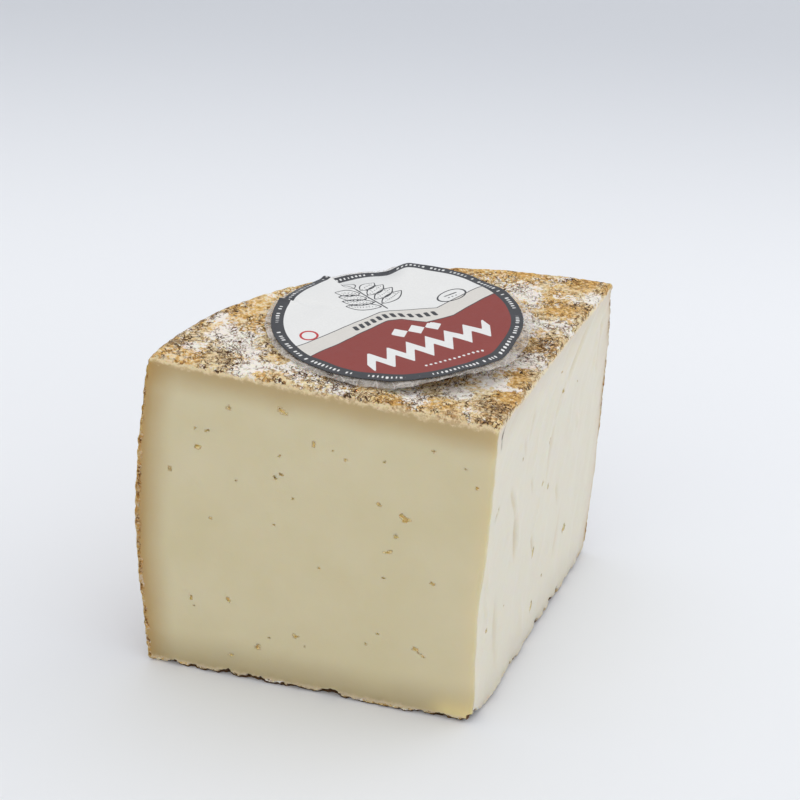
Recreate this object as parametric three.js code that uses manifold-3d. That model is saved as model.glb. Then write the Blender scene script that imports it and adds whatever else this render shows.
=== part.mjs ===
// A wedge cut from a wheel of pressed goat's cheese, standing on its base, with a round paper
// label and the clear film under it resting loose on its top.
// Millimetres, +Z up. The wheel's axis is upright. The wedge's point faces -Y, its rind +Y.
import * as THREE from 'three';
import { mergeVertices } from 'three/addons/utils/BufferGeometryUtils.js';
import Module from 'manifold-3d';

const wasm = await Module();
wasm.setup();

// The wheel that the wedge was cut from
const wheelRadius = 100; // where the side meets the base and the top
const sideBulge = 3; // how far the side swells at half its height
const heightAtAxis = 83.5;
const topSlopeX = -0.024; // the top sank unevenly while the cheese drained
const topSlopeY = 0.049;
const topRound = 4; // rounding of the wheel's upper edge
const baseRound = 3; // rounding of its lower edge

// The two cuts, as seen from above, with the wheel's axis at 0, 0
const wedgePoint = new THREE.Vector2(-4.4, 14.4);
const leftRimAngle = 42.2; // degrees from +Y to the place where a cut leaves the rim
const rightRimAngle = 42.6;
const cutReach = 160; // how far the cutting prism runs, past the rim

// Where the wheel's axis stands, so that the whole part is centred on the origin
const wheelAxis = new THREE.Vector3(-0.34, -58.7, 0);

// The label and the film
const labelRadius = 31.5;
const filmRadius = 34.5;
const sheetThickness = 0.2; // paper and film alike, drawn a little thick
const sheetGap = 0.3; // clear space that touching pieces keep
const labelCentre = new THREE.Vector2(-3.8, 64.6); // from the wheel's axis
const labelLift = 3.8; // label above the top at its centre
const labelSlopeX = 0.07; // the label's right side stands clear of the rind
const labelSlopeY = 0.02;

// Facets
const wheelSteps = 160;
const sideSteps = 14;
const roundSteps = 5;
const sheetSteps = 48;
const sheetRings = 6;

function topHeight(x, y) {
  return heightAtAxis + topSlopeX * x + topSlopeY * y;
}

function labelFloor(x, y) {
  const centreHeight = topHeight(labelCentre.x, labelCentre.y) + labelLift;
  return centreHeight + labelSlopeX * (x - labelCentre.x) + labelSlopeY * (y - labelCentre.y);
}

// The film lies under the label, and on the cheese wherever the label comes that low
function filmFloor(x, y) {
  const underLabel = labelFloor(x, y) - sheetGap - sheetThickness;
  return Math.max(underLabel, topHeight(x, y) + sheetGap);
}

function toSolid(geometry) {
  const bare = geometry.clone();
  bare.deleteAttribute('normal');
  bare.deleteAttribute('uv');
  const merged = mergeVertices(bare, 1e-5);
  const corners = merged.index.array;
  const kept = [];
  for (let i = 0; i < corners.length; i += 3) {
    const [a, b, c] = [corners[i], corners[i + 1], corners[i + 2]];
    if (a !== b && b !== c && c !== a) kept.push(a, b, c); // drops the empty facets at a pole
  }
  return new wasm.Manifold(new wasm.Mesh({
    numProp: 3,
    vertProperties: new Float32Array(merged.attributes.position.array),
    triVerts: new Uint32Array(kept),
  }));
}

function toGeometry(solid) {
  const mesh = solid.getMesh();
  const geometry = new THREE.BufferGeometry();
  geometry.setAttribute('position', new THREE.BufferAttribute(mesh.vertProperties, 3));
  geometry.setIndex(new THREE.BufferAttribute(mesh.triVerts, 1));
  return geometry;
}

// Calls move(point) on every vertex
function warp(geometry, move) {
  const positions = geometry.attributes.position;
  const point = new THREE.Vector3();
  for (let i = 0; i < positions.count; i++) {
    point.fromBufferAttribute(positions, i);
    move(point);
    positions.setXYZ(i, point.x, point.y, point.z);
  }
  return geometry;
}

// A quarter turn of the wheel's edge, from angle a to b in degrees about (x, z)
function edgeRound(x, z, radius, a, b) {
  return Array.from({ length: roundSteps + 1 }, (_, i) => {
    const angle = THREE.MathUtils.degToRad(a + (b - a) * i / roundSteps);
    return new THREE.Vector2(x + radius * Math.cos(angle), z + radius * Math.sin(angle));
  });
}

// The whole wheel: a lathed profile with a swelling side, then tilted at the top
function wheelGeometry() {
  const sideLow = baseRound;
  const sideHigh = heightAtAxis - topRound;
  const side = [];
  for (let i = 1; i < sideSteps; i++) {
    const t = i / sideSteps;
    const swell = sideBulge * 4 * t * (1 - t);
    side.push(new THREE.Vector2(wheelRadius + swell, sideLow + (sideHigh - sideLow) * t));
  }
  const profile = [
    new THREE.Vector2(0, 0),
    ...edgeRound(wheelRadius - baseRound, baseRound, baseRound, -90, 0),
    ...side,
    ...edgeRound(wheelRadius - topRound, sideHigh, topRound, 0, 90),
    new THREE.Vector2(0, heightAtAxis),
  ];
  const wheel = new THREE.LatheGeometry(profile, wheelSteps);
  wheel.rotateX(Math.PI / 2);
  return warp(wheel, (p) => {
    p.z *= topHeight(p.x, p.y) / heightAtAxis;
  });
}

// The prism between the two cuts
function wedgeGeometry() {
  const left = THREE.MathUtils.degToRad(90 + leftRimAngle);
  const right = THREE.MathUtils.degToRad(90 - rightRimAngle);
  const towards = (angle) => new THREE.Vector2(Math.cos(angle), Math.sin(angle))
    .multiplyScalar(wheelRadius).sub(wedgePoint).setLength(cutReach).add(wedgePoint);
  const outline = new THREE.Shape([wedgePoint, towards(right), towards(left)]);
  const prism = new THREE.ExtrudeGeometry(outline, { depth: 2 * heightAtAxis, bevelEnabled: false });
  return prism.translate(0, 0, -heightAtAxis / 2);
}

// A thin round sheet whose underside follows floor(x, y)
function sheetGeometry(radius, floor) {
  const rings = Array.from({ length: sheetRings + 1 }, (_, i) => radius * i / sheetRings);
  const profile = [
    ...rings.map((r) => new THREE.Vector2(r, 0)),
    ...rings.reverse().map((r) => new THREE.Vector2(r, sheetThickness)),
  ];
  const sheet = new THREE.LatheGeometry(profile, sheetSteps);
  sheet.rotateX(Math.PI / 2).translate(labelCentre.x, labelCentre.y, 0);
  return toGeometry(toSolid(warp(sheet, (p) => {
    p.z += floor(p.x, p.y);
  })));
}

function piece(name, geometry, colour, roughness) {
  geometry.computeVertexNormals();
  const material = new THREE.MeshStandardMaterial({ color: colour, roughness, metalness: 0 });
  const mesh = new THREE.Mesh(geometry, material);
  mesh.name = name;
  mesh.position.copy(wheelAxis);
  return mesh;
}

const cheeseSolid = toSolid(wheelGeometry()).intersect(toSolid(wedgeGeometry()));

const cheeseWedge = new THREE.Group();
cheeseWedge.add(
  piece('cheese', toGeometry(cheeseSolid), '#d8cda9', 0.7),
  piece('label_film', sheetGeometry(filmRadius, filmFloor), '#dedad6', 0.25),
  piece('label', sheetGeometry(labelRadius, labelFloor), '#c9c3bd', 0.5),
);

export default cheeseWedge;
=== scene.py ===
import math

import bmesh
import bpy
import numpy as np
from mathutils import Matrix, Vector


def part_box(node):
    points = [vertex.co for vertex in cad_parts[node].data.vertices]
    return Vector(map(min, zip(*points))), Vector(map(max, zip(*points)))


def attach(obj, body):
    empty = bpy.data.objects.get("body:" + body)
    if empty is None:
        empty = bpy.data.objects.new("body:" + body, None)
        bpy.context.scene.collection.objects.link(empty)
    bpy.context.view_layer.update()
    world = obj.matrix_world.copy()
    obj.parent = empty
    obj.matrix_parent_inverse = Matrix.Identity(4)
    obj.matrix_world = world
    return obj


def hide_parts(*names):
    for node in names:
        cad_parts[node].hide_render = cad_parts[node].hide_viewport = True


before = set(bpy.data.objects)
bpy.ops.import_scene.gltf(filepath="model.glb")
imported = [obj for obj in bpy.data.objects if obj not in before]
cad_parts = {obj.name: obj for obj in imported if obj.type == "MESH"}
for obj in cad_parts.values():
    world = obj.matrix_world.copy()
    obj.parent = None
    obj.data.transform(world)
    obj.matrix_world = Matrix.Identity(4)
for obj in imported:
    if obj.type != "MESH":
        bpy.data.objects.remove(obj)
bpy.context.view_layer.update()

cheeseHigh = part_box("cheese")[1]

# Every shape below is worked out in millimetres, with the wheel's axis at x = y = 0 and the
# base at z = 0. toPart() puts the points into the part's own frame, in metres.
mm = 0.001
wheel = {
    "radius": 100.0,        # where the side meets the base and the top
    "bulge": 3.0,           # swelling of the side at half height
    "height": 83.5,         # at the wheel's axis
    "slopeX": -0.024,       # the top sinks to the right
    "slopeY": 0.049,        # and rises towards the rim
    "topRound": 2.8,
    "baseRound": 1.8,
    "point": (-4.4, 14.4),  # where the two cuts meet
    "leftAngle": 42.2,      # degrees from +Y to where each cut leaves the rim
    "rightAngle": 42.6,
}
axisPlace = np.array([-0.34, cheeseHigh.y / mm - wheel["radius"] - wheel["bulge"], 0.0])


def toPart(points):
    # place in metres = (millimetres + the axis's place) / 1000
    return (points + axisPlace) * mm


def asPoints(x, y=0.0, z=0.0):
    return np.stack(np.broadcast_arrays(x, y, z), -1)


def latticeRandom(i, j, k, seed):
    # three whole numbers to a random number from 0 to 1, by integer hashing
    with np.errstate(over="ignore"):
        h = (i.astype(np.uint32) * np.uint32(374761393) + j.astype(np.uint32) * np.uint32(668265263)
             + k.astype(np.uint32) * np.uint32(2246822519) + np.uint32(seed * 7919 + 17))
        h = (h ^ (h >> np.uint32(13))) * np.uint32(1274126177)
        h = (h ^ (h >> np.uint32(15))) * np.uint32(2654435761)
        h = h ^ (h >> np.uint32(16))
    return h.astype(np.float64) / 4294967295.0


def valueNoise(points, size, seed):
    # random values on a lattice of that size, blended by t*t*t*(6t*t - 15t + 10); from -1 to 1
    q = points / size
    base = np.floor(q)
    t = q - base
    t = t * t * t * (t * (t * 6.0 - 15.0) + 10.0)
    i, j, k = [base[..., a].astype(np.int64) for a in range(3)]
    total = 0.0
    for di, dj, dk in np.ndindex(2, 2, 2):
        share = (np.where(di, t[..., 0], 1 - t[..., 0]) * np.where(dj, t[..., 1], 1 - t[..., 1])
                 * np.where(dk, t[..., 2], 1 - t[..., 2]))
        total = total + share * latticeRandom(i + di, j + dj, k + dk, seed)
    return total * 2.0 - 1.0


def layeredNoise(points, size, layers, seed):
    # sum of noise at size, size/2, size/4 and so on, each half as strong
    total, strength, whole = 0.0, 1.0, 0.0
    for n in range(layers):
        total = total + strength * valueNoise(points, size / 2 ** n, seed + 31 * n)
        whole += strength
        strength *= 0.5
    return total / whole


def cellNoise(points, size, seed):
    # distances to the nearest and second nearest of one random point per lattice cell, in cells
    q = points / size
    base = np.floor(q).astype(np.int64) - 1
    near = np.full(q.shape[:-1], 9.0)
    second = near.copy()
    for di, dj, dk in np.ndindex(3, 3, 3):
        i, j, k = base[..., 0] + di, base[..., 1] + dj, base[..., 2] + dk
        spot = asPoints(i + latticeRandom(i, j, k, seed), j + latticeRandom(i, j, k, seed + 1),
                        k + latticeRandom(i, j, k, seed + 2))
        d = np.linalg.norm(q - spot, axis=-1)
        second = np.minimum(np.maximum(near, d), second)
        near = np.minimum(near, d)
    return near, second


def bell(x, centre, width):
    # exp(-((x - centre) / width) squared)
    return np.exp(-((x - centre) / width) ** 2)


def step(low, high, x):
    # smooth step from 0 at low to 1 at high
    t = np.clip((x - low) / (high - low), 0.0, 1.0)
    return t * t * (3.0 - 2.0 * t)


def gridNormals(p):
    # unit normal of a grid closed along its columns: dP/du cross dP/dv
    du = np.roll(p, -1, 1) - np.roll(p, 1, 1)
    dv = np.gradient(p, axis=0)
    n = np.cross(du, dv)
    length = np.linalg.norm(n, axis=-1, keepdims=True)
    return n / np.maximum(length, 1e-9)


def placeObject(name, data):
    made = bpy.data.objects.new(name, data)
    bpy.context.scene.collection.objects.link(made)
    return made


def closedMesh(name, p, fields=None):
    # rows of points round an axis, first and last row drawn together to one point each
    rows, columns = p.shape[:2]
    inner = p[1:-1].reshape(-1, 3)
    points = np.concatenate([p[0].mean(0)[None], inner, p[-1].mean(0)[None]])
    a = np.arange(columns)
    b = (a + 1) % columns
    first = np.stack([np.zeros_like(a), 1 + b, 1 + a], 1)
    start = 1 + (rows - 3) * columns
    last = np.stack([np.full_like(a, len(points) - 1), start + a, start + b], 1)
    r = 1 + np.arange(rows - 3)[:, None] * columns
    quads = np.stack([r + a, r + b, r + columns + b, r + columns + a], -1).reshape(-1, 4)
    mesh = bpy.data.meshes.new(name)
    mesh.vertices.add(len(points))
    mesh.vertices.foreach_set("co", toPart(points).astype(np.float32).ravel())
    loops = np.concatenate([first.ravel(), quads.ravel(), last.ravel()])
    sizes = np.concatenate([np.full(columns, 3), np.full(len(quads), 4), np.full(columns, 3)])
    mesh.loops.add(len(loops))
    mesh.loops.foreach_set("vertex_index", loops.astype(np.int32))
    mesh.polygons.add(len(sizes))
    mesh.polygons.foreach_set("loop_start", (np.cumsum(sizes) - sizes).astype(np.int32))
    mesh.update(calc_edges=True)
    mesh.validate()
    for field, values in (fields or {}).items():
        flat = np.concatenate([[values[0].mean()], values[1:-1].ravel(), [values[-1].mean()]])
        mesh.attributes.new(field, "FLOAT", "POINT").data.foreach_set("value", flat.astype(np.float32))
    mesh.shade_smooth()
    return placeObject(name, mesh)


def linear(hexText):
    # sRGB hex colour to linear red, green, blue and 1
    channels = [int(hexText[i:i + 2], 16) / 255 for i in (1, 3, 5)]
    return [c / 12.92 if c <= 0.04045 else ((c + 0.055) / 1.055) ** 2.4 for c in channels] + [1.0]


def addNode(tree, kind, settings=None, links=None):
    # settings name the node's own values or its inputs; links name inputs and what feeds them
    node = tree.nodes.new("ShaderNode" + kind)
    for key, value in (settings or {}).items():
        if isinstance(key, str) and hasattr(node, key):
            setattr(node, key, value)
        else:
            node.inputs[key].default_value = value
    for key, value in (links or {}).items():
        if isinstance(value, bpy.types.NodeSocket):
            tree.links.new(value, node.inputs[key])
        elif isinstance(value, bpy.types.Node):
            tree.links.new(value.outputs[0], node.inputs[key])
        else:
            node.inputs[key].default_value = value
    return node


def newMaterial(name):
    material = bpy.data.materials.new(name)
    material.use_nodes = True
    material.node_tree.nodes.clear()
    return material, material.node_tree


view = {
    "aim": (0.0, 45.0, 44.0),  # mm, from the wheel's axis
    "distance": 508.3,         # mm from the aim to the camera, along its line of sight
    "azimuth": -29.97,         # degrees about Z, 0 looks along +Y
    "pitch": 27.05,            # degrees looking down
    "roll": 3.29,
    "sideways": -9.59,         # mm that the camera stands off, to its own right and up
    "upwards": 28.77,
    "lens": 90.0,              # mm
    "sensor": 36.0,            # mm, its width
}


def makeCamera():
    turn, pitch, roll = [math.radians(view[k]) for k in ("azimuth", "pitch", "roll")]
    forward = Vector((-math.sin(turn) * math.cos(pitch), math.cos(turn) * math.cos(pitch),
                      -math.sin(pitch)))
    level = Vector((math.cos(turn), math.sin(turn), 0.0))
    upright = level.cross(forward)
    right = math.cos(roll) * level + math.sin(roll) * upright
    up = -math.sin(roll) * level + math.cos(roll) * upright
    place = (Vector(view["aim"]) - forward * view["distance"]
             + right * view["sideways"] + up * view["upwards"])
    data = bpy.data.cameras.new("camera")
    data.lens = view["lens"]
    data.sensor_width = view["sensor"]
    data.clip_start = 0.01
    camera = placeObject("camera", data)
    turned = Matrix((right, up, -forward)).transposed().to_4x4()
    camera.matrix_world = Matrix.Translation(Vector(toPart(np.array(place)))) @ turned
    bpy.context.scene.camera = camera


studio = {
    "radius": 0.9,      # metres: the bend of the card behind the piece
    "flat": 1.0,        # how far back it lies flat
    "tall": 1.6,
    "width": 3.2,       # to either side
    "front": -1.6,
    "near": "#eceef2",  # painted light on the card from the front to the back: a little painted shade at the front, full light in the middle, painted shade at the back
    "middle": "#eef0f4",
    "far": "#cdd0d6",
    "world": "#f3f4f5",
    "worldStrength": 0.87,
    # name: (place in metres, aim, size in metres, watts, colour)
    "lamps": {
        "window": ((1.15, -0.1, 0.75), (0.0, 0.0, 0.04), 1.3, 3.3, "#fffefd"),
        "fill": ((-1.0, -0.6, 0.7), (0.0, 0.0, 0.04), 1.4, 1.6, "#fffaf2"),
        "top": ((0.1, 0.35, 1.2), (0.0, 0.0, 0.0), 1.4, 3.2, "#fbfcff"),
    },
}


def makeStudio():
    # floor and backdrop in one sheet: flat, then a quarter round, then upright
    radius, flat, width = studio["radius"], studio["flat"], studio["width"]
    turn = np.radians(np.linspace(0, 90, 17))
    y = np.concatenate([[studio["front"], flat], flat + radius * np.sin(turn)[1:], [flat + radius]])
    z = np.concatenate([[0.0, 0.0], radius * (1 - np.cos(turn))[1:], [studio["tall"]]])
    heading = math.radians(view["azimuth"])
    verts, faces = [], []
    for n, (b, h) in enumerate(zip(y, z)):
        for side in (-width, width):
            verts.append((side * math.cos(heading) - b * math.sin(heading),
                          side * math.sin(heading) + b * math.cos(heading), h))
        if n:
            faces.append((2 * n - 2, 2 * n - 1, 2 * n + 1, 2 * n))
    mesh = bpy.data.meshes.new("floor")
    mesh.from_pydata(verts, [], faces)
    mesh.shade_smooth()
    floor = placeObject("floor", mesh)
    material, tree = newMaterial("matt studio card, painted light falloff")
    place = addNode(tree, "TexCoord").outputs["Object"]
    ahead = addNode(tree, "VectorMath",
                    {"operation": "DOT_PRODUCT", 1: (-math.sin(heading), math.cos(heading), 0.0)},
                    {0: place}).outputs["Value"]
    colour = addNode(tree, "RGB")
    colour.outputs[0].default_value = linear(studio["middle"])
    # the card's painted shade from metres ahead of the piece's middle: 0 at start, full at end
    for shade, start, end in (("far", 0.18, 0.62), ("near", 0.12, -0.12)):
        share = addNode(tree, "MapRange",
                        {"interpolation_type": "SMOOTHSTEP", "From Min": start, "From Max": end},
                        {"Value": ahead})
        colour = addNode(tree, "MixRGB", {"Color2": linear(studio[shade])},
                         {"Fac": share, "Color1": colour})
    shader = addNode(tree, "BsdfPrincipled", {"Roughness": 0.85}, {"Base Color": colour})
    addNode(tree, "OutputMaterial", None, {"Surface": shader})
    mesh.materials.append(material)

    world = bpy.data.worlds.new("soft daylight")
    world.use_nodes = True
    sky = world.node_tree.nodes["Background"]
    sky.inputs["Color"].default_value = linear(studio["world"])
    sky.inputs["Strength"].default_value = studio["worldStrength"]
    bpy.context.scene.world = world

    for name, (place, aim, size, watts, colour) in studio["lamps"].items():
        data = bpy.data.lights.new(name, "AREA")
        data.shape = "DISK"
        data.size = size
        data.energy = watts
        data.color = linear(colour)[:3]
        lamp = placeObject(name, data)
        lamp.location = place
        lamp.rotation_euler = (Vector(aim) - Vector(place)).to_track_quat("-Z", "Y").to_euler()


makeCamera()
makeStudio()
bpy.context.scene.view_settings.view_transform = "Standard"
print("camera, light and floor made")


cheese = {
    "cutColumns": (152, 160),   # grid columns across the right and the left cut
    "rimColumns": 96,
    "sideRows": 104,
    "capMiddle": (-3.8, 64.6),  # mm, where the rows of the base and of the top run to
    "topReach": 0.28,           # how far in, as a share, the fine rows of the top run
    "rindRelief": 0.36,         # mm, bumps of the rind
    "rindSwell": 0.5,           # mm, its longer waves
    "combing": 0.12,            # mm, what the knife dragged on the right cut
    "marks": 1.1,               # strength of the single knife marks
    "lift": 1.4,                # mm, how far the top stands up along the left cut, near the point
    "notches": 1.7,             # mm, how high the broken base edge rises
    "undercut": 1.2,            # mm, how far it is eaten in below that
    "undercutFade": 2.5,        # mm behind the cut in which that ends
    "baseEdge": 0.45,           # mm, height of the broken base edge between the notches; below it the cut is painted dark, partly dark rind and partly painted shade
    "lip": 0.26,                # mm, how far the cut rind swells out under the top
    "hollow": 0.2,              # mm, how deep the cut is hollow below that
    "baseLip": 0.3,             # mm, the same swelling over the base
    "crumble": 0.9,             # mm from the edges in which they crumble
    "leanTop": 0.9,             # mm, how far the edge between the cuts leans at its top
    "leanMiddle": 0.6,          # mm, and at its middle, the other way
}

# Where the rind carries more of each: x, y from the wheel's axis and radius, in mm
rindPatches = {
    "bloomHere": [(-44, 78, 6), (-54, 73, 3.5), (-46, 58, 4), (-37, 54, 5), (-44, 70, 5),
                  (-15, 33, 4), (-5, 32, 5), (42, 79, 8), (36, 57, 6), (38, 70, 4), (6, 33, 4),
                  (56, 65, 3), (20, 41, 5)],
    "goldHere": [(-61, 71, 5), (-29, 88, 6), (-46, 82, 3.5), (-38, 84, 4), (-22, 33, 4),
                 (-11, 28, 4), (37, 73, 4), (43, 61, 5), (39, 89, 6), (47, 84, 5), (60, 74, 5),
                 (6, 27, 3), (13, 35, 4), (-70, 70, 9)],
    "mouldHere": [(-45, 86, 4), (-60, 77, 4), (-29, 43, 4), (-31, 48, 4), (-53, 65, 5), (0, 24, 4),
                  (29, 50, 5), (14, 29, 3), (50, 63, 3.5), (13, 34, 3), (-36, 66, 3)],
    "rustHere": [(-22, 31, 3.5), (-12, 23, 3), (0, 22, 5), (9, 28, 4), (16, 36, 4), (27, 46, 4),
                 (44, 63, 4), (30, 93, 6), (46, 86, 6), (60, 76, 6), (-32, 41, 3)],
}

# Marks of the knife on each cut: from (along, up) to (along, up) in mm from the wedge's point and
# the base, then width and height in mm; a height under 0 is a groove
knifeMarks = {
    "right": [((7.4, 59.1), (3.6, 56.9), 0.5, -0.5), ((17, 58.7), (21.3, 49.9), 0.8, -0.4),
              ((21.3, 49.9), (24.9, 34.8), 1, -0.45), ((19, 58), (23.4, 49), 0.9, 0.3),
              ((23.4, 49), (27, 36), 0.9, 0.3), ((38.2, 35), (40.9, 27.8), 0.6, -0.5),
              ((44.5, 45.2), (38.2, 35), 0.8, 0.35), ((70.2, 56.8), (72.3, 49.7), 0.9, 0.5),
              ((2.7, 44.2), (4.6, 36), 0.7, 0.5), ((4.6, 36), (7.3, 25.8), 0.7, 0.45),
              ((73.9, 81), (52.3, 67.9), 1, -0.3), ((52.3, 67.9), (47, 45), 0.9, -0.25),
              ((60, 74), (47.5, 58), 0.9, 0.3), ((84, 76), (82.5, 60), 1.2, 0.3),
              ((87, 79), (85.5, 62), 0.9, -0.25), ((33, 55), (35.5, 49), 0.7, -0.35),
              ((58, 40), (60.5, 33), 0.7, -0.35), ((24, 70), (26.5, 64), 0.7, -0.3),
              ((64, 30), (60, 16), 0.8, -0.3), ((36, 66), (34, 58), 0.7, 0.3),
              ((49, 30), (47, 20), 0.8, 0.3), ((66, 64), (63, 52), 0.8, 0.25),
              ((12, 30), (15, 8), 1.2, -0.3), ((30, 76), (28, 67), 0.9, -0.25),
              ((33, 20), (35, 4), 1.1, 0.3)],
    "left": [((16, 19.5), (13.2, 16.8), 0.35, -0.3), ((76, 57), (71.5, 52.8), 1, -0.2),
             ((76.6, 24), (75, 22), 0.35, -0.2), ((66.5, 25), (63.5, 21.5), 0.35, -0.2)],
}
markEnds = 0.2                  # share of a mark's strength that is left at its ends


def topHeight(x, y):
    # plane of the top: height + slopeX x + slopeY y
    return wheel["height"] + wheel["slopeX"] * x + wheel["slopeY"] * y


def cutDirections():
    # unit vectors along the right and the left cut, from the point to the rim
    point = np.array(wheel["point"])
    found = []
    for angle in (90 - wheel["rightAngle"], 90 + wheel["leftAngle"]):
        angle = math.radians(angle)
        corner = wheel["radius"] * np.array([math.cos(angle), math.sin(angle)])
        found.append((corner - point) / np.linalg.norm(corner - point))
    return found


rightCut, leftCut = cutDirections()
rightOut = np.array([rightCut[1], -rightCut[0], 0.0])   # outward normals of the two cuts
leftOut = np.array([-leftCut[1], leftCut[0], 0.0])


def wheelProfile():
    # rows from the middle of the base, up the side and in over the top:
    # radius, height at the axis, and share k of the way out from the middle of the caps
    radius, height = wheel["radius"], wheel["height"]
    low, high = wheel["baseRound"], wheel["topRound"]
    under = np.array([0.0, 0.2, 0.45, 0.65, 0.8, 0.88, 0.93, 0.96, 0.98, 0.99])
    lowTurn = np.radians(np.linspace(-90, 0, 9))
    t = np.linspace(0, 1, cheese["sideRows"])
    t = (t - 0.35 * np.sin(2 * np.pi * t) / (2 * np.pi))[1:-1]
    highTurn = np.radians(np.linspace(0, 90, 11))
    reach = cheese["topReach"]
    fine = 1 - np.linspace(0, 1 - reach - 0.3, 66)[1:]
    coarse = np.linspace(fine[-1], 0, 9)[1:]
    over = np.concatenate([fine, coarse])
    r = np.concatenate([np.full(len(under), radius - low), radius - low + low * np.cos(lowTurn),
                        radius + wheel["bulge"] * 4 * t * (1 - t),
                        radius - high + high * np.cos(highTurn), np.full(len(over), radius - high)])
    h = np.concatenate([np.zeros(len(under)), low + low * np.sin(lowTurn),
                        low + (height - high - low) * t,
                        height - high + high * np.sin(highTurn), np.full(len(over), height)])
    k = np.concatenate([under, np.ones(len(lowTurn) + len(t) + len(highTurn)), over])
    return r, h, k


def wedgeSurface():
    # P(u, v): v picks a row of the wheel's profile, u runs round the wedge's outline at that
    # row's radius: right cut from the point, rim, left cut back. Caps shrink to the middle:
    # xy = middle + k (outline - middle), z = h / height * topHeight(x, y)
    r, h, k = [a[:, None] for a in wheelProfile()]
    point = np.array(wheel["point"])
    def corner(direction):
        along = -point @ direction + np.sqrt((point @ direction) ** 2 - point @ point + r ** 2)
        return point + along * direction
    rightCorner, leftCorner = corner(rightCut), corner(leftCut)
    def share(n):
        t = np.arange(n) / n
        return (t - 0.4 * np.sin(2 * np.pi * t) / (2 * np.pi))[None, :, None]
    nRight, nLeft = cheese["cutColumns"]
    tRight, tRim, tLeft = share(nRight), share(cheese["rimColumns"]), share(nLeft)
    right = point + tRight * (rightCorner - point)[:, None]
    start = np.arctan2(rightCorner[:, 1], rightCorner[:, 0])[:, None, None]
    end = np.arctan2(leftCorner[:, 1], leftCorner[:, 0])[:, None, None]
    turn = (start + tRim * (end - start))[..., 0]
    rim = np.stack([r * np.cos(turn), r * np.sin(turn)], -1)
    left = leftCorner[:, None] + tLeft * (point - leftCorner)[:, None]
    outline = np.concatenate([right, rim, left], 1)
    middle = np.array(cheese["capMiddle"])
    xy = middle + k[..., None] * (outline - middle)
    z = h / wheel["height"] * topHeight(xy[..., 0], xy[..., 1])
    return np.concatenate([xy, z[..., None]], -1)


def cheeseDistances(p):
    # how deep a point lies behind each of the cheese's five faces, in mm
    x, y, z = p[..., 0], p[..., 1], p[..., 2]
    point = np.append(wheel["point"], 0.0)
    share = np.clip(z / topHeight(x, y), 0, 1)
    return {
        "right": -(p - point) @ rightOut,
        "left": -(p - point) @ leftOut,
        "top": topHeight(x, y) - z,
        "base": z,
        "rim": wheel["radius"] + wheel["bulge"] * 4 * share * (1 - share) - np.hypot(x, y),
    }


def alongCuts(p):
    # how far along each cut a point stands from the wedge's point, in mm
    away = p - np.append(wheel["point"], 0.0)
    return {"left": away @ np.append(leftCut, 0.0), "right": away @ np.append(rightCut, 0.0)}


def strokeRelief(along, up, marks, ends=1.0):
    # sum over the strokes of height x exp(-(distance to the stroke / width) squared), fading
    # towards both ends to the share that ends gives
    total = np.zeros_like(along)
    for (startX, startZ), (endX, endZ), width, height in marks:
        dx, dz = endX - startX, endZ - startZ
        share = np.clip(((along - startX) * dx + (up - startZ) * dz) / (dx * dx + dz * dz), 0, 1)
        gap = np.hypot(along - startX - share * dx, up - startZ - share * dz)
        fade = 1 - (1 - ends) * np.abs(2 * share - 1) ** 2.5
        total += height * fade * np.exp(-(gap / width) ** 2)
    return total


def baseUndercut(along, up, cut):
    # share that lies under the broken base edge of a cut, painted dark there as partly dark rind and
    # partly painted shade in the undercut, and how far it is eaten in there, in mm;
    # the edge's height is baseEdge + notches, by noise along the cut, with a raised corner
    spots = asPoints(along)
    wide = np.clip(1.9 * layeredNoise(spots, 3.6, 4, 131 if cut == "left" else 137) - 0.05, 0, 1) ** 2
    small = np.clip(2.4 * layeredNoise(spots, 1.7, 2, 149) - 0.35, 0, 1)
    notch = wide + 0.4 * small
    edge = cheese["baseEdge"] + cheese["notches"] * notch + 0.2 * layeredNoise(spots, 1.9, 2, 139)
    if cut == "right":
        corner = bell(along, 1.5, 3.5)
        edge = edge + 2.4 * corner
        notch = notch + 0.8 * corner
    else:
        edge = edge * (1 - step(77, 84, along))
    return 1 - step(edge - 0.15, edge + 0.2, up), cheese["undercut"] * (0.2 + notch)


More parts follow.
